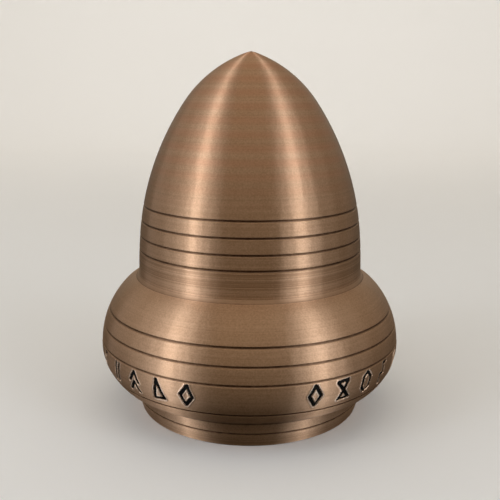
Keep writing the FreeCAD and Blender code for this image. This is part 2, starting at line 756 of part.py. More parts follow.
def make_spin_tip():
    """Headed pin whose end carries on the nose's line to a blunt point."""
    tip_edge = "tip_top - (tip_radius - tip_point_radius) * tan(19)"
    return turned("spin_tip", [
        ("0", "tip_head_level"),
        ("tip_head_radius - tip_clearance", "tip_head_level"),
        ("tip_head_radius - tip_clearance", "tip_neck_level - tip_clearance"),
        ("tip_radius - tip_clearance", "tip_neck_level - tip_clearance"),
        ("tip_radius - tip_clearance", tip_edge),
        ("tip_point_radius", "tip_point_level"),
        ("0", "tip_top"),
    ])


def make_set_screw():
    """Grub screw behind the tip, with its socket facing down."""
    bottom = "(tip_head_level - set_screw_length)"
    body = turned("tip_set_screw", box_outline("0", "set_screw_radius - thread_clearance", bottom,
                                               "tip_head_level"))
    cut_away(body, lambda: hex_prism(body, "set_screw_socket", "socket_flats", "socket_depth",
                                     f"{bottom} + socket_depth", "PartDesign::Pocket"))
    return body


def make_pieces():
    """Every sub-part, in the order in which the top goes together."""
    return [
        make_crown(),
        make_spindle(),
        make_ring("spindle_shim", "bearing_bore_radius + 0.05", "shim_radius", FLANGE_TOP,
                  BEARING_BOTTOM),
        *make_bearing_races(),
        make_balls(),
        make_cage(),
        *make_shields(),
        make_ring("clamp_washer", "spindle_screw_radius + 0.1", "clamp_washer_radius", BEARING_TOP,
                  WASHER_TOP),
        make_spindle_screw(),
        make_carrier(),
        make_circlip(),
        make_carrier_screws(),
        *make_rim_and_marks(),
        make_nose(),
        make_seal(),
        make_spin_tip(),
        make_set_screw(),
    ]


def check(pieces):
    """Stops the build if any feature failed or any sub-part is empty or invalid."""
    for item in doc.Objects:
        if "Invalid" in item.State or "Error" in item.State:
            raise RuntimeError(f"{item.Name} failed: {item.State}")
    for piece in pieces:
        if piece.Shape.isNull() or not piece.Shape.isValid() or not piece.Shape.Solids:
            raise RuntimeError(f"{piece.Label} has no valid solid")
        if min(solid.Volume for solid in piece.Shape.Solids) < SMALLEST_SOLID:
            raise RuntimeError(f"{piece.Label} has a sliver")


sheet = make_sheet()
PIECES = make_pieces()
doc.recompute()
check(PIECES)
os.makedirs("parts", exist_ok=True)
for piece in PIECES:
    piece.Shape.exportStep(f"parts/{piece.Label}.step")
    print(f"{piece.Label}: {len(piece.Shape.Solids)} solids, {piece.Shape.Volume:.3f} mm3")
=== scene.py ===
"""Looks of the bearing-crown spinning top: turned copper skins around the CAD frame, in a plain studio.

The CAD gives places and sizes in metres. Half-profiles here are drawn in millimetres, as (r, z) with z along
the spin axis, and are scaled when a mesh is made.
"""
import math

import bpy
import numpy as np
from mathutils import Matrix, Vector


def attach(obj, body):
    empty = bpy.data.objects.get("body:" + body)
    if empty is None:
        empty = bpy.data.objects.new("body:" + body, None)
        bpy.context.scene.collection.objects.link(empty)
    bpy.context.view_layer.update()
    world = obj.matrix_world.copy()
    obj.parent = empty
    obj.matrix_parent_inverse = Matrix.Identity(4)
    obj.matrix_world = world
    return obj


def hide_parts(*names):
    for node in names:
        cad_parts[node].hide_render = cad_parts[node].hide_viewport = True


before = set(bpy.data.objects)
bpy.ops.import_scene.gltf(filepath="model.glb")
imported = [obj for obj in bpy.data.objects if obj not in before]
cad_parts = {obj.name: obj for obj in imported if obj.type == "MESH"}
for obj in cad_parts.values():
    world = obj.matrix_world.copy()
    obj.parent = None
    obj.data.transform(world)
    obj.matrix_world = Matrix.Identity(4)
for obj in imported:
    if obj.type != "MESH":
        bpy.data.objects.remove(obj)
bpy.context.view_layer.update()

MM = 0.001
# Columns round the axis of a turned mesh, and how many times as many the marked band has.
COLUMNS = 144
FINE = 10
# Two levels nearer than this, in millimetres, are the same.
SAME_LEVEL = 1e-6

# Rim, nose and crown outlines, as in the CAD: where each chain of tangent arcs starts, and its arcs as
# (radius, turn) in millimetres and degrees. The insides are the corners of their straight runs.
SEAT_LEVEL = 17.9
RIM_START = (17.895, 4.475)
RIM_HEADING = 42.85
RIM_ARCS = ((6.58, 46.69), (10.97, 44.71), (4.86, 22.98))
RIM_BORE, RIM_LEDGE = 12.4, 9.6
RIM_HUB_BORE = 8.65
RIM_RECESS, RIM_RECESS_TOP = 16.1, 6.3
RIM_INSIDE = ((RIM_BORE, SEAT_LEVEL), (RIM_BORE, RIM_LEDGE), (RIM_HUB_BORE, RIM_LEDGE),
              (RIM_HUB_BORE, RIM_RECESS_TOP), (RIM_RECESS, RIM_RECESS_TOP), (RIM_RECESS, RIM_START[1]))
NOSE_START = (14.88, 18.67)
NOSE_HEADING = 90.72
NOSE_ARCS = ((69.0, 4.23), (35.96, 28.98), (16.09, 36.8))
NOSE_FILLET = 0.64
NOSE_FOOT = (15.27, 18.08)
NOSE_BORE, NOSE_BORE_LEVEL = 10.4, 28.0
SET_SCREW_RADIUS = 2.0
TIP_RADIUS, TIP_TOP, TIP_HEAD_LEVEL = 1.5, 43.5, 41.5
SPIGOT_RADIUS, SPIGOT_END_RADIUS, SPIGOT_BOTTOM, SPIGOT_CHAMFER = 12.38, 11.9, 14.0, 0.5
SEAL_GROOVE_RADIUS, SEAL_GROOVE_BOTTOM, SEAL_GROOVE_TOP = 11.55, 16.3, 17.3
CROWN_TOP, CROWN_RADIUS = 6.0, 15.8
CROWN_DISH_DEPTH, CROWN_DISH_RADIUS, CROWN_DISH_CURVE = 1.6, 12.0, 45.8
CROWN_WELL_RADIUS, CROWN_WELL_FLOOR = 13.0, 3.3
CROWN_BOSS_RADIUS, CROWN_STUD_RADIUS, CROWN_STUD_BOTTOM, CROWN_STUD_CONE = 5.5, 2.5, 3.1, 0.2
CROWN_WALL_FOOT, CROWN_WALL_TOP, CROWN_WALL_CURVE = (14.94, 0.28), (15.8, 4.3), 19.0
# The flat ring that the crown stands on: a point on it, its outer edge, a point up the wall from there, and
# the rounds at its inner and outer edge.
CROWN_LAND, CROWN_LAND_EDGE, CROWN_LAND_WALL = (14.0, 0.0), (14.9, 0.0), (15.0, 0.6)
CROWN_LAND_INNER_ROUND, CROWN_LAND_OUTER_ROUND = 0.25, 0.3
EDGE_ROUND = 0.12

# Each groove: level, depth and how much dirt and painted shade it holds.
RIM_GROOVES = ((6.0, 0.27, 1.9), (9.94, 0.27, 1.1), (12.06, 0.27, 1.0), (14.09, 0.31, 1.0))
NOSE_GROOVES = ((21.84, 0.27, 1.1), (23.67, 0.26, 1.0), (25.63, 0.26, 1.0), (27.59, 0.26, 0.9))
CROWN_GROOVES = ((1.8, 0.26, 1.3),)
# A groove's section: distance from its middle in millimetres, and share of its depth.
GROOVE_SECTION = ((-0.23, 0.0), (-0.18, 0.01), (-0.15, 0.06), (-0.13, 0.25), (-0.115, 0.8), (-0.08, 1.0),
                  (0.0, 1.0),
                  (0.08, 1.0), (0.115, 0.8), (0.13, 0.25), (0.15, 0.06), (0.18, 0.01), (0.23, 0.0))
GROOVE_REACH = GROOVE_SECTION[-1][0]

# Stamped marks, as in the CAD.
MARKS = 29
MARK_START = 22.4
MARK_PITCH = 11.3
MARK_LEVEL = 8.2
MARK_WIDTH = 1.5
MARK_HEIGHT = 2.6
MARK_LEAN = 7.0
MARK_LEAN_TURN = 137.5
MARK_STEP = 3
STROKE_WIDTH = 0.42
# Each mark's strokes, in a cell that runs from -1 to 1 both ways.
DIAMOND = [[(0, 1), (1, 0), (0, -1), (-1, 0), (0, 1)]]
TRIANGLE = [[(-1, -0.9), (0, 1), (1, -0.9), (-1, -0.9)]]
CHEVRONS = [[(-1, 0), (0, 1), (1, 0)], [(-1, -1), (0, 0), (1, -1)]]
HOURGLASS = [[(-1, 0.9), (1, 0.9), (-1, -0.9), (1, -0.9), (-1, 0.9)]]
SLASHES = [[(-0.9, -1), (-0.1, 1)], [(0.1, -1), (0.9, 1)]]
STAIR = [[(-1, -1), (-1, 0), (0, 0), (0, 1), (1, 1)]]
HEXAGON = [[(0, 1), (0.9, 0.5), (0.9, -0.5), (0, -1), (-0.9, -0.5), (-0.9, 0.5), (0, 1)]]
MARK_SHAPES = (DIAMOND, CHEVRONS, STAIR, HOURGLASS, TRIANGLE, SLASHES, HEXAGON)
# A stroke's section in millimetres: its depth, where its wall starts inside its edge and how wide the wall
# is, the dirt and painted shade on it, and the burr beside it, whose bright metal is partly a painted
# highlight. Its width is uneven by a share.
STROKE_DEPTH = 0.3
WALL_INSIDE, WALL_WIDTH, WALL_DIRT_AND_SHADE = 0.07, 0.08, 0.7
BURR_HEIGHT, BURR_WIDTH = 0.04, 0.2
STROKE_UNEVENNESS = 0.16
# The enamel in a stroke: how far it goes past the stroke's edge, its mean depth under the surface, how much
# deeper its middle sags, its waviness, and its underside's depth.
ENAMEL_PAST_EDGE = 0.03
ENAMEL_DEPTH, ENAMEL_SAG, ENAMEL_SAG_WIDTH = 0.055, 0.03, 0.17
ENAMEL_WAVE = 0.012
ENAMEL_BOTTOM = 0.31
# Rows of the marked band on the rim's lowest arc, and on the narrow strip above it.
BAND_ROWS = 46
STRIP_ROWS, STRIP_HEIGHT = 8, 0.5

# Dirt and painted shade, as a share, and below zero burnished metal: at the rim's lip (the shade its edge
# casts) and how far up it goes, on the two points of the nose's foot, in its fillet (painted shade) and how
# much less at each step up, on the crown's wall from a level up (painted shade under the rim's lip), and on
# the ring that the top stands on.
LIP_DIRT_AND_SHADE, LIP_DIRT_AND_SHADE_HEIGHT = 0.8, 0.3
NOSE_FOOT_DIRT_AND_SHADE = (0.9, 0.6)
FILLET_SHADE, FILLET_SHADE_FALL = 0.4, 0.05
CROWN_DIRT_AND_SHADE_LEVEL, CROWN_DIRT_AND_SHADE_RISE = 3.12, 0.1
RESTING_RING = -0.45

# Copper's lightness varies between two colours. Dirt and painted shade sit in grooves, and rubbed edges are
# brighter, partly as a painted highlight.
COPPER_DARK = (0.50, 0.295, 0.172)
COPPER_LIGHT = (0.66, 0.415, 0.262)
# Dark colour of pits, and of dirt and painted shade in grooves, stroke walls, joints and under the rim's lip.
DIRT_AND_SHADE = (0.11, 0.055, 0.027)
# Rubbed metal on the resting ring, and on the burrs partly a painted highlight.
BURNISHED_AND_HIGHLIGHT = (1.0, 0.80, 0.64)
RING_TINT = (0.62, 0.27, 0.15)
COPPER_ROUGHNESS = 0.44
BRONZE_DARK = (0.5, 0.3, 0.18)
BRONZE_LIGHT = (0.62, 0.4, 0.26)
# In metres: below which level the nose's feed lines are coarse, and how far apart its faint rings are.
NOSE_COARSE_TOP = 0.0214
NOSE_RING_PITCH = 0.0016

# Camera: its place in metres, its angles in degrees, its lens and sensor in millimetres. It looks along +Y,
# tilted down and slightly rolled.
CAMERA_PLACE = (0.0, -0.09408, 0.04233)
CAMERA_TILT = 12.705
CAMERA_ROLL = 0.33
CAMERA_LENS = 51.29
SENSOR_WIDTH = 36.0

# Studio. The stage's sizes are in millimetres, the lamps' in metres.
FLOOR_RADIUS, WALL_BEND, WALL_TOP = 420.0, 240.0, 620.0
STAGE_COLOUR = (0.92, 0.91, 0.90)
AIR_COLOUR = (1.0, 0.90, 0.73)
AIR_LIGHT = 0.44
# Between these slopes the surrounding light goes from none to its full strength.
HORIZON = (-0.10, 0.15)
TOP_MIDDLE = (0.0, 0.0, 0.022)
DAYLIGHT = (0.82, 0.90, 1.0)
# Each streak on the turned metal comes from a nest of lamps of growing width, so that it fades softly:
# (azimuth, height, size, power).
STREAK_LIGHTS = {
    "left": ((-58.5, 0.10, (0.05, 0.38), 0.1298), (-59, 0.10, (0.13, 0.38), 0.059),
             (-59, 0.10, (0.24, 0.38), 0.118), (-64, 0.10, (0.40, 0.38), 0.177),
             (-60, 0.03, (0.05, 0.05), 0.0354), (-60, 0.03, (0.20, 0.05), 0.0708)),
    "right": ((52.5, 0.10, (0.05, 0.38), 0.1239), (52.5, 0.10, (0.13, 0.38), 0.0118),
              (53, 0.10, (0.24, 0.38), 0.177), (66, 0.10, (0.40, 0.38), 0.0885),
              (53, 0.03, (0.05, 0.05), 0.0236), (53, 0.03, (0.20, 0.05), 0.0708)),
}
# The first lamp's distance, and how much further each next one stands, clear of the one before.
STREAK_DISTANCE, STREAK_STEP = 0.30, 0.002
# The other lamps: azimuth, height, distance, size, power, colour, and where the aim isn't the top, its aim.
OTHER_LIGHTS = {
    "side_left": (-104, 0.10, 0.36, (0.34, 0.36), 0.1062, DAYLIGHT),
    "side_right": (104, 0.10, 0.36, (0.34, 0.36), 0.02596, DAYLIGHT),
    "front_high": (0, 0.40, 0.16, (0.30, 0.16), 0.12, (1.0, 0.97, 0.92)),
    "floor_wash": (180, 0.35, 0.35, (0.50, 0.20), 0.5, (1.0, 0.97, 0.93), (0.0, 0.65, 0.0)),
}


# ---- half-profiles ----
def tangent_arcs(r, z, heading, arcs):
    """Arcs as (centre r, centre z, radius, first angle, last angle), each running on from the one before."""
    chain = []
    for radius, turn in arcs:
        first = math.radians(heading - 90)
        centre_r, centre_z = r - radius * math.cos(first), z - radius * math.sin(first)
        heading += turn
        last = math.radians(heading - 90)
        r, z = centre_r + radius * math.cos(last), centre_z + radius * math.sin(last)
        chain.append((centre_r, centre_z, radius, first, last))
    return chain


def radius_at(chain, z):
    """Radius and outward slope angle of an arc chain at a level."""
    for centre_r, centre_z, radius, first, last in chain:
        if z <= centre_z + radius * math.sin(last) + 1e-9:
            break
    angle = math.asin(min(max((z - centre_z) / radius, -1.0), 1.0))
    return centre_r + radius * math.cos(angle), angle


def sample_chain(chain, grooves, step):
    """Points (r, z, groove share) up an arc chain, with its grooves cut in."""
    levels = {}
    for centre_r, centre_z, radius, first, last in chain:
        count = max(2, math.ceil(radius * (last - first) / step))
        for i in range(count + 1):
            angle = first + (last - first) * i / count
            levels[round(centre_z + radius * math.sin(angle), 6)] = (0.0, 0.0)
    for middle, depth, dirt in grooves:
        levels = {z: cut for z, cut in levels.items() if abs(z - middle) > GROOVE_REACH + 0.02}
        for offset, share in GROOVE_SECTION:
            levels[round(middle + offset, 6)] = (share * depth, share * dirt)
    points = []
    for z, (sink, share) in sorted(levels.items()):
        points.append((radius_at(chain, z)[0] - sink, z, share))
    return points


def plain(points):
    """Corner points with no groove share."""
    return [(r, z, 0.0) for r, z in points]


def rounded(corner, before, after, radius, steps=4):
    """A small round in place of an outline's corner, as points (r, z)."""
    corner, before, after = (np.array(p, float) for p in (corner, before, after))
    to_before = (before - corner) / np.linalg.norm(before - corner)
    to_after = (after - corner) / np.linalg.norm(after - corner)
    points = []
    for i in range(steps + 1):
        t = i / steps
        points.append(tuple(corner + to_before * radius * (1 - t) ** 2 + to_after * radius * t ** 2))
    return points


def soft_outline(corners, radius):
    """Closed outline whose corners are all slightly rounded."""
    points = []
    for i, corner in enumerate(corners):
        before, after = corners[i - 1], corners[(i + 1) % len(corners)]
        shortest = min(math.dist(corner, before), math.dist(corner, after))
        points += rounded(corner, before, after, min(radius, shortest * 0.4))
    return points


# ---- meshes turned about the axis ----
def circle(r, z, columns):
    """Points of a ring round the axis, from -Y and counterclockwise seen from above."""
    angles = np.arange(columns) * (2 * math.pi / columns)
    return np.stack([r * np.sin(angles), -r * np.cos(angles), np.full(columns, z)], axis=1)


def bridge(low_start, low_count, high_start, high_count):
    """Faces between two rings; where one has more columns, each coarse side joins several fine ones."""
    faces = []
    cells = min(low_count, high_count)
    low_step, high_step = low_count // cells, high_count // cells
    for cell in range(cells):
        low = [low_start + (cell * low_step + i) % low_count for i in range(low_step + 1)]
        high = [high_start + (cell * high_step + i) % high_count for i in range(high_step + 1)]
        faces.append(low + high[::-1])
    return faces


def turned_mesh(name, rings, shares, closed=True):
    """A mesh through a list of rings. A ring of one point is a pole. shares is the groove share per ring."""
    starts = np.cumsum([0] + [len(ring) for ring in rings])
    pairs = list(zip(range(len(rings)), range(1, len(rings))))
    if closed:
        pairs.append((len(rings) - 1, 0))
    faces = []
    for a, b in pairs:
        count_a, count_b = len(rings[a]), len(rings[b])
        if count_a == 1:
            faces += [[starts[a], starts[b] + (i + 1) % count_b, starts[b] + i] for i in range(count_b)]
        elif count_b == 1:
            faces += [[starts[a] + i, starts[a] + (i + 1) % count_a, starts[b]] for i in range(count_a)]
        else:
            faces += bridge(starts[a], count_a, starts[b], count_b)
    points = np.concatenate(rings) * MM
    share = np.concatenate([np.full(len(ring), value) for ring, value in zip(rings, shares)])
    return make_mesh(name, points, faces, {"cavity": share})


def make_mesh(name, points, faces, values):
    """An object from points and faces, with smooth shading and named values on its points."""
    mesh = bpy.data.meshes.new(name)
    mesh.from_pydata(points.tolist(), [], [[int(i) for i in face] for face in faces])
    for key, numbers in values.items():
        attribute = mesh.attributes.new(key, "FLOAT", "POINT")
        attribute.data.foreach_set("value", np.asarray(numbers, np.float32))
    mesh.polygons.foreach_set("use_smooth", np.ones(len(mesh.polygons), bool))
    mesh.update()
    mesh.validate()
    piece = bpy.data.objects.new(name, mesh)
    bpy.context.scene.collection.objects.link(piece)
    return piece


def sharpen(piece, degrees):
    """Keeps edges crisp where faces meet at more than an angle."""
    piece.data.set_sharp_from_angle(angle=math.radians(degrees))


# ---- stamped marks ----
def noise_1d(x, seed):
    """Smooth made-up unevenness between -1 and 1."""
    return (np.sin(x * 2.3 + seed * 1.7) + np.sin(x * 5.1 + seed * 2.9) + np.sin(x * 11.7 + seed * 4.3)) / 3


def stroke_distance(x, y, start, end, seed):
    """Distance of points from a stroke's edge in millimetres, negative inside, its width uneven."""
    way = np.array(end) - np.array(start)
    length = np.hypot(*way)
    along = np.clip(((x - start[0]) * way[0] + (y - start[1]) * way[1]) / length ** 2, 0, 1)
    off = np.hypot(x - start[0] - along * way[0], y - start[1] - along * way[1])
    half = STROKE_WIDTH / 2 * (1 + STROKE_UNEVENNESS * noise_1d(along * length * 1.6, seed))
    return off - half


def mark_distance(azimuth, height):
    """Distance from the nearest stroke's edge, for points given by azimuth in degrees and by height in
    millimetres above the marks' middle level, along the rim's surface."""
    nearest = np.full(azimuth.shape, MARK_PITCH)
    rim_radius = radius_at(RIM_CHAIN, MARK_LEVEL)[0]
    for number in range(MARKS):
        centre = MARK_START + number * MARK_PITCH
        offset = (azimuth - centre + 180) % 360 - 180
        near = np.abs(offset) < MARK_PITCH / 2
        lean = math.radians(MARK_LEAN * math.sin(math.radians(number * MARK_LEAN_TURN)))
        x = np.radians(offset[near]) * rim_radius
        y = height[near]
        x, y = x * math.cos(lean) + y * math.sin(lean), y * math.cos(lean) - x * math.sin(lean)
        best = nearest[near]
        for path in MARK_SHAPES[number * MARK_STEP % len(MARK_SHAPES)]:
            for i, (start, end) in enumerate(zip(path, path[1:])):
                ends = [(p[0] * MARK_WIDTH / 2, p[1] * MARK_HEIGHT / 2) for p in (start, end)]
                best = np.minimum(best, stroke_distance(x, y, *ends, number * 3.1 + i))
        nearest[near] = best
    return nearest


def burr(distance):
    """The rounded ridge beside a stroke, from 0 to 1."""
    return np.where(distance > 0, np.sin(np.pi * np.clip(distance / BURR_WIDTH, 0, 1)), 0)


def mark_relief(distance):
    """Height of the surface in millimetres: a flat-bottomed stroke with a raised burr beside it."""
    wall = np.clip((distance + WALL_INSIDE) / WALL_WIDTH, 0, 1)
    wall = wall * wall * (3 - 2 * wall)
    return -STROKE_DEPTH * (1 - wall) + BURR_HEIGHT * burr(distance)


def mark_share(distance):
    """Dirt and painted shade on a stroke's wall, and below zero the bright metal of its burr, partly a
    painted highlight.
    """
    return np.where(distance < 0, WALL_DIRT_AND_SHADE, -burr(distance))


RIM_CHAIN = tangent_arcs(*RIM_START, RIM_HEADING, RIM_ARCS)
NOSE_CHAIN = tangent_arcs(*NOSE_START, NOSE_HEADING, NOSE_ARCS)


def band_rows():
    """Levels of the marked band's fine rows, between the two grooves beside it."""
    low = RIM_GROOVES[0][0] + GROOVE_REACH
    high = RIM_GROOVES[1][0] - GROOVE_REACH
    strip = high - STRIP_HEIGHT
    arc = RIM_CHAIN[0]
    first, last = (math.asin((z - arc[1]) / arc[2]) for z in (low, strip))
    levels = [arc[1] + arc[2] * math.sin(angle) for angle in np.linspace(first, last, BAND_ROWS + 1)]
    return levels + [strip + STRIP_HEIGHT * i / STRIP_ROWS for i in range(1, STRIP_ROWS + 1)]


def surface_ring(z, columns):
    """A ring on the rim's plain surface, each point's azimuth, and its outward direction."""
    r, slope = radius_at(RIM_CHAIN, z)
    angles = np.arange(columns) * (2 * math.pi / columns)
    outward = np.stack([np.sin(angles) * math.cos(slope), -np.cos(angles) * math.cos(slope),
                        np.full(columns, math.sin(slope))], axis=1)
    return circle(r, z, columns), np.degrees(angles), outward


def arc_height(z):
    """Distance along the rim's lowest arc from the marks' middle level."""
    centre_z, radius = RIM_CHAIN[0][1:3]
    return radius * (math.asin(min((z - centre_z) / radius, 1)) - math.asin((MARK_LEVEL - centre_z) / radius))


def band_grid():
    """Rings of the marked band before stamping, with outward directions and distances to the strokes."""
    rings, outwards, distances = [], [], []
    for z in band_rows():
        ring, azimuth, outward = surface_ring(z, COLUMNS * FINE)
        rings.append(ring)
        outwards.append(outward)
        distances.append(mark_distance(azimuth, np.full(azimuth.shape, arc_height(z))))
    return np.array(rings), np.array(outwards), np.array(distances)


# ---- pieces ----
def make_rim():
    """The heavy ring: outside with grooves and stamped band, inside with its recess, ledge and bores."""
    rings, shares = [], []

    def add(points):
        for r, z, share in points:
            rings.append(circle(r, z, COLUMNS))
            shares.append(share)

    outside = sample_chain(RIM_CHAIN, RIM_GROOVES, 0.35)
    band = band_rows()
    below = [p for p in outside if p[1] < band[0] - SAME_LEVEL]
    above = [p for p in outside if p[1] > band[-1] + SAME_LEVEL]
    top = (above[-1][0], SEAT_LEVEL)
    inside = soft_outline([top, *RIM_INSIDE], EDGE_ROUND)
    lip_level = below[0][1]
    # The lip's edge: dirt and painted shade of the dark line it casts, fading upward.
    add([(r, z, max(share, LIP_DIRT_AND_SHADE * (1 - (z - lip_level) / LIP_DIRT_AND_SHADE_HEIGHT))) for r, z, share in below])
    grid, outwards, distances = band_grid()
    for ring, outward, distance in zip(grid, outwards, distances):
        rings.append(ring + outward * mark_relief(distance)[:, None])
        shares.append(mark_share(distance))
    add(above)
    add(plain(inside))
    piece = turned_mesh("rim_skin", rings, shares)
    sharpen(piece, 50)
    return piece, (grid, outwards, distances)


def make_enamel(grid, outwards, distances):
    """Black filling in the strokes, a little below the copper's surface, each patch a closed solid."""
    rows, columns = distances.shape
    wanted = distances < ENAMEL_PAST_EDGE
    wave = ENAMEL_WAVE * noise_1d(grid[..., 0] * 7 + grid[..., 2] * 5, 1.3)
    sag = ENAMEL_SAG * np.clip(-distances / ENAMEL_SAG_WIDTH, 0, 1)
    top = grid + outwards * (wave - ENAMEL_DEPTH - sag)[..., None]
    bottom = grid - outwards * ENAMEL_BOTTOM
    full = wanted[:-1] & wanted[1:] & np.roll(wanted, -1, 1)[:-1] & np.roll(wanted, -1, 1)[1:]
    index = {}
    points, faces = [], []

    def vertex(row, column, level):
        key = (row, column % columns, level)
        if key not in index:
            index[key] = len(points)
            points.append((top if level else bottom)[row, column % columns])
        return index[key]

    def is_full(row, column):
        return 0 <= row < rows - 1 and full[row, column % columns]

    for row, column in zip(*np.nonzero(full)):
        cell = [(row, column), (row, column + 1), (row + 1, column + 1), (row + 1, column)]
        faces.append([vertex(*corner, 1) for corner in cell])
        faces.append([vertex(*corner, 0) for corner in cell[::-1]])
        beside = [(row - 1, column), (row, column + 1), (row + 1, column), (row, column - 1)]
        for i, neighbour in enumerate(beside):
            if not is_full(*neighbour):
                a, b = cell[i], cell[(i + 1) % 4]
                faces.append([vertex(*a, 0), vertex(*b, 0), vertex(*b, 1), vertex(*a, 1)])
    return make_mesh("enamel_fill", np.array(points) * MM, faces, {})


def make_nose():
    """Hollow dome with its shoulder fillet, grooves, spigot and bore."""
    outside = sample_chain(NOSE_CHAIN, NOSE_GROOVES, 0.4)
    start_r, start_z = outside[0][:2]
    foot_r, foot_z = NOSE_FOOT
    centre_r = start_r + NOSE_FILLET
    sweep = math.acos((centre_r - foot_r) / NOSE_FILLET)
    fillet = [(centre_r - NOSE_FILLET * math.cos(angle), start_z - NOSE_FILLET * math.sin(angle))
              for angle in np.linspace(sweep, 0, 9)[1:-1]]
    dome = [(NOSE_BORE * math.cos(angle), NOSE_BORE_LEVEL + NOSE_BORE * math.sin(angle))
            for angle in np.linspace(math.acos(SET_SCREW_RADIUS / NOSE_BORE), 0, 16)]
    tip_bore = [(outside[-1][0], TIP_TOP), (TIP_RADIUS, TIP_TOP), (TIP_RADIUS, TIP_HEAD_LEVEL),
                (SET_SCREW_RADIUS, TIP_HEAD_LEVEL)]
    spigot = [(NOSE_BORE, SPIGOT_BOTTOM), (SPIGOT_END_RADIUS, SPIGOT_BOTTOM),
              (SPIGOT_RADIUS, SPIGOT_BOTTOM + SPIGOT_CHAMFER), (SPIGOT_RADIUS, SEAL_GROOVE_BOTTOM),
              (SEAL_GROOVE_RADIUS, SEAL_GROOVE_BOTTOM), (SEAL_GROOVE_RADIUS, SEAL_GROOVE_TOP),
              (SPIGOT_RADIUS, SEAL_GROOVE_TOP), (SPIGOT_RADIUS, SEAT_LEVEL), (foot_r, SEAT_LEVEL)]
    # The foot's joint holds dirt and painted shade; the fillet above it has painted shade, fading upward.
    foot = [(foot_r, SEAT_LEVEL + 0.1, NOSE_FOOT_DIRT_AND_SHADE[0]), (foot_r, foot_z, NOSE_FOOT_DIRT_AND_SHADE[1])]
    shaded_fillet = [(r, z, FILLET_SHADE - FILLET_SHADE_FALL * i) for i, (r, z) in enumerate(fillet)]
    points = foot + shaded_fillet + outside + plain(tip_bore + dome + spigot)
    rings = [circle(r, z, COLUMNS) for r, z, share in points]
    piece = turned_mesh("nose_skin", rings, [p[2] for p in points])
    sharpen(piece, 40)
    return piece


def make_crown():
    """Disc with its foot ring, finger dish, grooved wall, well and boss."""
    curve = CROWN_DISH_CURVE
    dish = [(r, CROWN_DISH_DEPTH - (curve - math.sqrt(curve ** 2 - r ** 2)))
            for r in np.linspace(0.4, CROWN_DISH_RADIUS, 30)]
    foot = rounded((CROWN_DISH_RADIUS, 0.0), dish[-2], CROWN_LAND, CROWN_LAND_INNER_ROUND)
    edge = rounded(CROWN_LAND_EDGE, CROWN_LAND, CROWN_LAND_WALL, CROWN_LAND_OUTER_ROUND, 6)
    # The crown's wall under the rim's lip: painted shade with some dirt, full above a level.
    wall = [(r, z, max(share, min(max((z - CROWN_DIRT_AND_SHADE_LEVEL) / CROWN_DIRT_AND_SHADE_RISE, 0.0), 1.0)))
            for r, z, share in sample_chain(crown_wall(), CROWN_GROOVES, 0.1) if z > edge[-1][1] + 0.05]
    top = soft_outline([(CROWN_RADIUS, CROWN_TOP), (CROWN_WELL_RADIUS, CROWN_TOP),
                        (CROWN_WELL_RADIUS, CROWN_WELL_FLOOR), (CROWN_BOSS_RADIUS, CROWN_WELL_FLOOR),
                        (CROWN_BOSS_RADIUS, CROWN_TOP), (CROWN_STUD_RADIUS, CROWN_TOP),
                        (CROWN_STUD_RADIUS, CROWN_STUD_BOTTOM)], EDGE_ROUND)
    land = [(r, z, RESTING_RING) for r, z in foot + edge[:3]]
    points = plain(dish[:-1]) + land + plain(edge[3:]) + wall + plain(top)
    rings = [circle(0.0, CROWN_DISH_DEPTH, 1)] + [circle(r, z, COLUMNS) for r, z, share in points]
    rings.append(circle(0.0, CROWN_STUD_BOTTOM - CROWN_STUD_CONE, 1))
    shares = [0.0] + [p[2] for p in points] + [0.0]
    piece = turned_mesh("crown_skin", rings, shares, closed=False)
    sharpen(piece, 40)
    return piece


def crown_wall():
    """The crown's outer wall as one arc, through its foot's edge and the level where it turns upright."""
    foot, top = CROWN_WALL_FOOT, CROWN_WALL_TOP
    tilt = math.atan2(top[1] - foot[1], top[0] - foot[0])
    half = math.asin(math.dist(foot, top) / 2 / CROWN_WALL_CURVE)
    return tangent_arcs(*foot, math.degrees(tilt - half), ((CROWN_WALL_CURVE, math.degrees(2 * half)),))


# ---- materials ----
class Nodes:
    """Short calls for building a material's node tree."""

    def __init__(self, name):
        self.material = bpy.data.materials.new(name)
        self.material.use_nodes = True
        self.tree = self.material.node_tree
        self.shader = self.tree.nodes["Principled BSDF"]

    def add(self, kind, inputs=None, **settings):
        node = self.tree.nodes.new(kind)
        for key, setting in settings.items():
            setattr(node, key, setting)
        for key, source in (inputs or {}).items():
            self.plug(node, key, source)
        return node

    def plug(self, node, key, source):
        if isinstance(source, bpy.types.NodeSocket):
            self.tree.links.new(source, node.inputs[key])
        else:
            node.inputs[key].default_value = source

    def maths(self, operation, a, b=0.0):
        return self.add("ShaderNodeMath", {0: a, 1: b}, operation=operation).outputs[0]

    def noise(self, vector, scale, detail=2.0, roughness=0.5):
        node = self.add("ShaderNodeTexNoise", {"Vector": vector, "Scale": scale, "Detail": detail,
                                               "Roughness": roughness})
        return node.outputs["Fac"]

    def ramp(self, factor, stops):
        node = self.add("ShaderNodeValToRGB", {"Fac": factor})
        ramp = node.color_ramp
        while len(ramp.elements) < len(stops):
            ramp.elements.new(0.5)
        for element, (place, colour) in zip(ramp.elements, stops):
            element.position = place
            element.color = (*colour, 1.0)
        return node.outputs["Color"]

    def mix(self, factor, a, b):
        node = self.add("ShaderNodeMix", data_type="RGBA")
        self.plug(node, 0, factor)
        self.plug(node, 6, a)
        self.plug(node, 7, b)
        return node.outputs[2]

    def span(self, source, low, high, start=0.0, end=1.0):
        """A value that goes from low to high as the source goes from start to end."""
        node = self.add("ShaderNodeMapRange", {"Value": source, "From Min": start, "From Max": end,
                                               "To Min": low, "To Max": high})
        return node.outputs["Result"]

    def set(self, **values):
        for key, source in values.items():
            self.plug(self.shader, key.replace("_", " "), source)


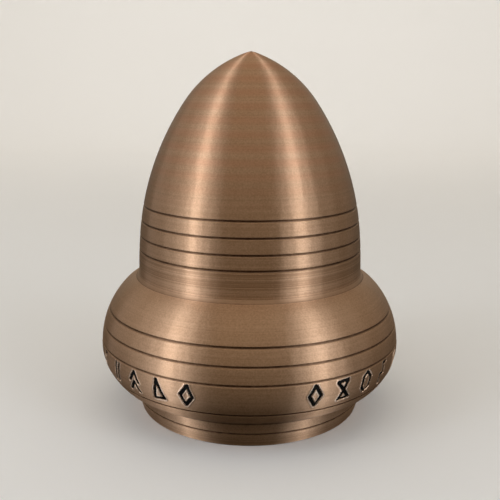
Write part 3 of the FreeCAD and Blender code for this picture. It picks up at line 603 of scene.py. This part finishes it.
def lathe_vector(n):
    """Texture coordinates that are the same all round the axis: radius and level."""
    place = n.add("ShaderNodeTexCoord").outputs["Object"]
    parts = n.add("ShaderNodeSeparateXYZ", {"Vector": place}).outputs
    flat = n.add("ShaderNodeCombineXYZ", {"X": parts["X"], "Y": parts["Y"]}).outputs[0]
    radius = n.add("ShaderNodeVectorMath", {0: flat}, operation="LENGTH").outputs["Value"]
    vector = n.add("ShaderNodeCombineXYZ", {"X": radius, "Y": parts["Z"]}).outputs[0]
    return place, vector


def turned_metal(name, dark, light, cavity, roughness, anisotropic, coarse_top=0.0, ring_pitch=0.0):
    """Satin turned metal: feed lines round the axis, uneven tarnish, small pits, dirt and painted shade in
    the grooves, and rubbed metal, partly a painted highlight.

    Below the level coarse_top the feed lines are coarser, as where a tool slowed down at a shoulder. With a
    ring_pitch, faint reddish rings lie that far apart near the top. Noise scales are cycles per metre."""
    n = Nodes(name)
    place, around = lathe_vector(n)
    level = n.add("ShaderNodeSeparateXYZ", {"Vector": place}).outputs["Z"]
    coarse = n.span(level, 0.0, 5.0, coarse_top + 0.0012, coarse_top)
    fine = n.noise(around, 7000.0, 2.0, 0.6)
    lines = n.noise(around, 2900.0, 2.0, 0.65)
    bands = n.noise(around, 420.0, 1.0)
    patches = n.noise(place, 130.0, 4.0, 0.6)
    specks = n.noise(place, 2600.0, 2.0)
    upright = n.add("ShaderNodeMapping", {"Vector": place, "Scale": (1.0, 1.0, 0.04)}).outputs[0]
    chatter = n.noise(upright, 800.0, 2.0)
    notches = n.noise(around, 4700.0, 1.0)
    ripple = n.maths("ADD", n.maths("SUBTRACT", lines, 0.5),
                     n.maths("MULTIPLY", n.maths("SUBTRACT", notches, 0.5), coarse))
    tone = n.maths("ADD", n.maths("MULTIPLY", bands, 0.3), n.maths("MULTIPLY", patches, 0.7))
    tone = n.maths("ADD", tone, n.maths("MULTIPLY", ripple, 0.7))
    grain = n.maths("SUBTRACT", n.noise(place, 5200.0, 1.0), 0.5)
    tone = n.maths("ADD", tone, n.maths("MULTIPLY", grain, 0.85))
    colour = n.ramp(tone, ((0.25, dark), (0.75, light)))
    pits = n.span(specks, 0.0, 0.25, 0.72, 0.78)
    colour = n.mix(pits, colour, (*cavity, 1.0))
    if ring_pitch:
        wave = n.maths("SINE", n.maths("MULTIPLY", level, 2 * math.pi / ring_pitch))
        upper = n.span(level, 0.0, 1.0, 0.028, 0.034)
        rings = n.maths("MULTIPLY", n.span(wave, 0.0, 0.32, -1.0), upper)
        colour = n.mix(rings, colour, (*RING_TINT, 1.0))
    share = n.add("ShaderNodeAttribute", attribute_name="cavity").outputs["Fac"]
    patchy = n.noise(place, 1400.0, 3.0)
    # Below zero share: rubbed metal, on the burrs partly a painted highlight.
    rubbed_and_highlight = n.maths("MULTIPLY", n.span(share, 0.0, 1.0, 0.0, -1.0), n.span(patchy, 0.35, 1.0, 0.38, 0.62))
    colour = n.mix(rubbed_and_highlight, colour, (*BURNISHED_AND_HIGHLIGHT, 1.0))
    # Dirt and painted shade in grooves, stroke walls, joints and under the lip, broken up by noise.
    dirt_and_shade_mask = n.maths("MULTIPLY", share, n.span(patchy, 0.35, 1.0))
    colour = n.mix(dirt_and_shade_mask, colour, (*cavity, 1.0))
    rough = n.maths("ADD", n.span(lines, roughness - 0.05, roughness + 0.05),
                    n.span(patches, -0.04, 0.04))
    rough = n.maths("ADD", rough, n.maths("MULTIPLY", n.maths("MAXIMUM", share, -0.3), 0.15))
    height = n.maths("ADD", n.maths("MULTIPLY", fine, 0.4), ripple)
    height = n.maths("ADD", height, n.maths("MULTIPLY", specks, 0.3))
    height = n.maths("ADD", height, n.maths("MULTIPLY", chatter, 1.6))
    bump = n.add("ShaderNodeBump", {"Height": height, "Strength": 0.5, "Distance": 0.00003})
    tangent = n.add("ShaderNodeTangent", direction_type="RADIAL", axis="Z").outputs[0]
    n.set(Base_Color=colour, Metallic=1.0, Roughness=rough, Anisotropic=anisotropic,
          Anisotropic_Rotation=0.25, Tangent=tangent, Normal=bump.outputs[0])
    return n.material


def enamel():
    """Black enamel with a slightly uneven, nearly matt surface."""
    n = Nodes("black_enamel_look")
    place = n.add("ShaderNodeTexCoord").outputs["Object"]
    coarse = n.noise(place, 900.0, 3.0)
    colour = n.ramp(coarse, ((0.3, (0.001, 0.001, 0.001)), (0.75, (0.007, 0.006, 0.005))))
    bump = n.add("ShaderNodeBump", {"Height": n.noise(place, 3000.0), "Strength": 0.5, "Distance": 0.00003})
    n.set(Base_Color=colour, Roughness=n.span(coarse, 0.5, 0.75), Specular_IOR_Level=0.12,
          Normal=bump.outputs[0])
    return n.material


def steel(name, dark, light, roughness):
    """Turned or ground steel, with faint lines round the axis."""
    n = Nodes(name)
    place, around = lathe_vector(n)
    tone = n.maths("ADD", n.maths("MULTIPLY", n.noise(around, 3000.0), 0.5),
                   n.maths("MULTIPLY", n.noise(place, 300.0, 3.0), 0.5))
    lines = n.noise(around, 6000.0)
    bump = n.add("ShaderNodeBump", {"Height": lines, "Strength": 0.3, "Distance": 0.00002})
    n.set(Base_Color=n.ramp(tone, ((0.3, dark), (0.7, light))), Metallic=1.0,
          Roughness=n.span(tone, roughness - 0.06, roughness + 0.06), Normal=bump.outputs[0])
    return n.material


def rubber():
    """Matt black rubber with a fine grain."""
    n = Nodes("seal_rubber_look")
    place = n.add("ShaderNodeTexCoord").outputs["Object"]
    grain = n.noise(place, 4000.0, 3.0)
    bump = n.add("ShaderNodeBump", {"Height": grain, "Strength": 0.3, "Distance": 0.00003})
    n.set(Base_Color=n.ramp(grain, ((0.3, (0.012, 0.012, 0.012)), (0.7, (0.03, 0.03, 0.03)))),
          Roughness=n.span(grain, 0.55, 0.75), Normal=bump.outputs[0])
    return n.material


def stage_paint(name, colour):
    """Matt paint with a barely uneven tint."""
    n = Nodes(name)
    place = n.add("ShaderNodeTexCoord").outputs["Object"]
    tint = n.noise(place, 6.0, 2.0)
    warm = tuple(c * 0.985 for c in colour)
    n.set(Base_Color=n.ramp(tint, ((0.3, warm), (0.7, colour))), Roughness=0.85)
    return n.material


def wear(piece, material):
    """Gives a piece this material and no other."""
    piece.data.materials.clear()
    piece.data.materials.append(material)


# ---- studio ----
def make_stage():
    """A pale floor that curves up into a wall all round, so that every view has the same plain ground."""
    points = [(r, 0.0) for r in (30.0, 120.0, 260.0, FLOOR_RADIUS)]
    for angle in np.linspace(0, math.pi / 2, 25)[1:]:
        points.append((FLOOR_RADIUS + WALL_BEND * math.sin(angle), WALL_BEND * (1 - math.cos(angle))))
    points.append((FLOOR_RADIUS + WALL_BEND, WALL_TOP))
    rings = [circle(0.0, 0.0, 1)] + [circle(r, z, 96) for r, z in points]
    stage = turned_mesh("studio_floor", rings, [0.0] * len(rings), closed=False)
    wear(stage, stage_paint("studio_paint", STAGE_COLOUR))
    # The copper mirrors the dark below the horizon instead, as it would over a dark table.
    stage.visible_glossy = False


def make_light(name, azimuth, height, distance, size, power, colour, aim=TOP_MIDDLE):
    """A soft rectangular lamp, placed by azimuth from the camera's side and aimed at a point."""
    data = bpy.data.lights.new(name, "AREA")
    data.shape = "RECTANGLE"
    data.size, data.size_y = size
    data.energy = power
    data.color = colour
    lamp = bpy.data.objects.new(name, data)
    bpy.context.scene.collection.objects.link(lamp)
    turn = math.radians(azimuth)
    lamp.location = (distance * math.sin(turn), -distance * math.cos(turn), height)
    direction = Vector(aim) - lamp.location
    lamp.rotation_euler = direction.to_track_quat("-Z", "Y").to_euler()


def make_camera():
    """The scene's camera."""
    data = bpy.data.cameras.new("camera")
    data.sensor_width = SENSOR_WIDTH
    data.lens = CAMERA_LENS
    data.clip_start = 0.005
    data.clip_end = 10.0
    camera = bpy.data.objects.new("camera", data)
    bpy.context.scene.collection.objects.link(camera)
    camera.location = CAMERA_PLACE
    pitch = Matrix.Rotation(math.radians(90 - CAMERA_TILT), 3, "X")
    roll = Matrix.Rotation(math.radians(CAMERA_ROLL), 3, "Z")
    camera.rotation_euler = (pitch @ roll).to_euler()
    bpy.context.scene.camera = camera


def make_world(above, below):
    """Soft surrounding light, dimmer below the horizon than above it."""
    world = bpy.data.worlds.new("studio_air")
    bpy.context.scene.world = world
    world.use_nodes = True
    tree = world.node_tree
    place = tree.nodes.new("ShaderNodeTexCoord")
    parts = tree.nodes.new("ShaderNodeSeparateXYZ")
    span = tree.nodes.new("ShaderNodeMapRange")
    span.interpolation_type = "SMOOTHSTEP"
    low, high = HORIZON
    for key, value in (("From Min", low), ("From Max", high), ("To Min", below), ("To Max", above)):
        span.inputs[key].default_value = value
    tree.links.new(place.outputs["Generated"], parts.inputs[0])
    tree.links.new(parts.outputs["Z"], span.inputs["Value"])
    tree.links.new(span.outputs["Result"], tree.nodes["Background"].inputs["Strength"])
    tree.nodes["Background"].inputs["Color"].default_value = (*AIR_COLOUR, 1.0)


def dress_inner_nodes():
    """Gives each node that keeps its CAD mesh a material."""
    looks = (
        (steel("bright_steel_look", (0.42, 0.42, 0.43), (0.6, 0.6, 0.61), 0.3),
         ("spindle", "spindle_shim", "clamp_washer", "carrier_screws")),
        (steel("bearing_steel_look", (0.5, 0.5, 0.51), (0.68, 0.68, 0.69), 0.16),
         ("bearing_inner_race", "bearing_outer_race", "bearing_balls", "bearing_shield_lower",
          "bearing_shield_upper")),
        (steel("dark_steel_look", (0.03, 0.03, 0.032), (0.075, 0.075, 0.08), 0.4),
         ("spindle_screw", "tip_set_screw", "bearing_circlip")),
        (steel("cage_brass_look", (0.42, 0.3, 0.11), (0.6, 0.45, 0.2), 0.3), ("bearing_cage",)),
        (steel("aluminium_look", (0.55, 0.56, 0.57), (0.74, 0.75, 0.76), 0.32), ("bearing_carrier",)),
        (turned_metal("ground_bronze", BRONZE_DARK, BRONZE_LIGHT, DIRT_AND_SHADE, 0.28, 0.5), ("spin_tip",)),
        (rubber(), ("nose_seal",)),
    )
    for material, nodes in looks:
        for node in nodes:
            wear(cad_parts[node], material)


def make_studio():
    """Floor, lamps, surrounding light and camera."""
    make_stage()
    for side, lamps in STREAK_LIGHTS.items():
        for number, (azimuth, height, size, power) in enumerate(lamps):
            distance = STREAK_DISTANCE + STREAK_STEP * number
            make_light(f"{side}_streak_{number + 1}", azimuth, height, distance, size, power, DAYLIGHT)
    for name, light in OTHER_LIGHTS.items():
        make_light(name, *light)
    make_world(AIR_LIGHT, 0.0)
    make_camera()


# ---- everything together ----
bpy.context.scene.view_settings.view_transform = "Standard"
rim, band = make_rim()
nose = make_nose()
crown = make_crown()
fill = make_enamel(*band)
for piece, node, body, slot in ((rim, "rim", "rotor", "copper_rim"),
                                (nose, "nose_shell", "rotor", "copper_nose"),
                                (crown, "crown", "crown_unit", "copper_crown"),
                                (fill, "mark_enamel", "rotor", "black_enamel")):
    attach(piece, body)
    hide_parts(node)
copper = (COPPER_DARK, COPPER_LIGHT, DIRT_AND_SHADE, COPPER_ROUGHNESS, 1.0)
wear(rim, turned_metal("turned_copper_rim", *copper))
wear(nose, turned_metal("turned_copper_nose", *copper, NOSE_COARSE_TOP, NOSE_RING_PITCH))
wear(crown, turned_metal("turned_copper_crown", *copper))
wear(fill, enamel())
dress_inner_nodes()
make_studio()
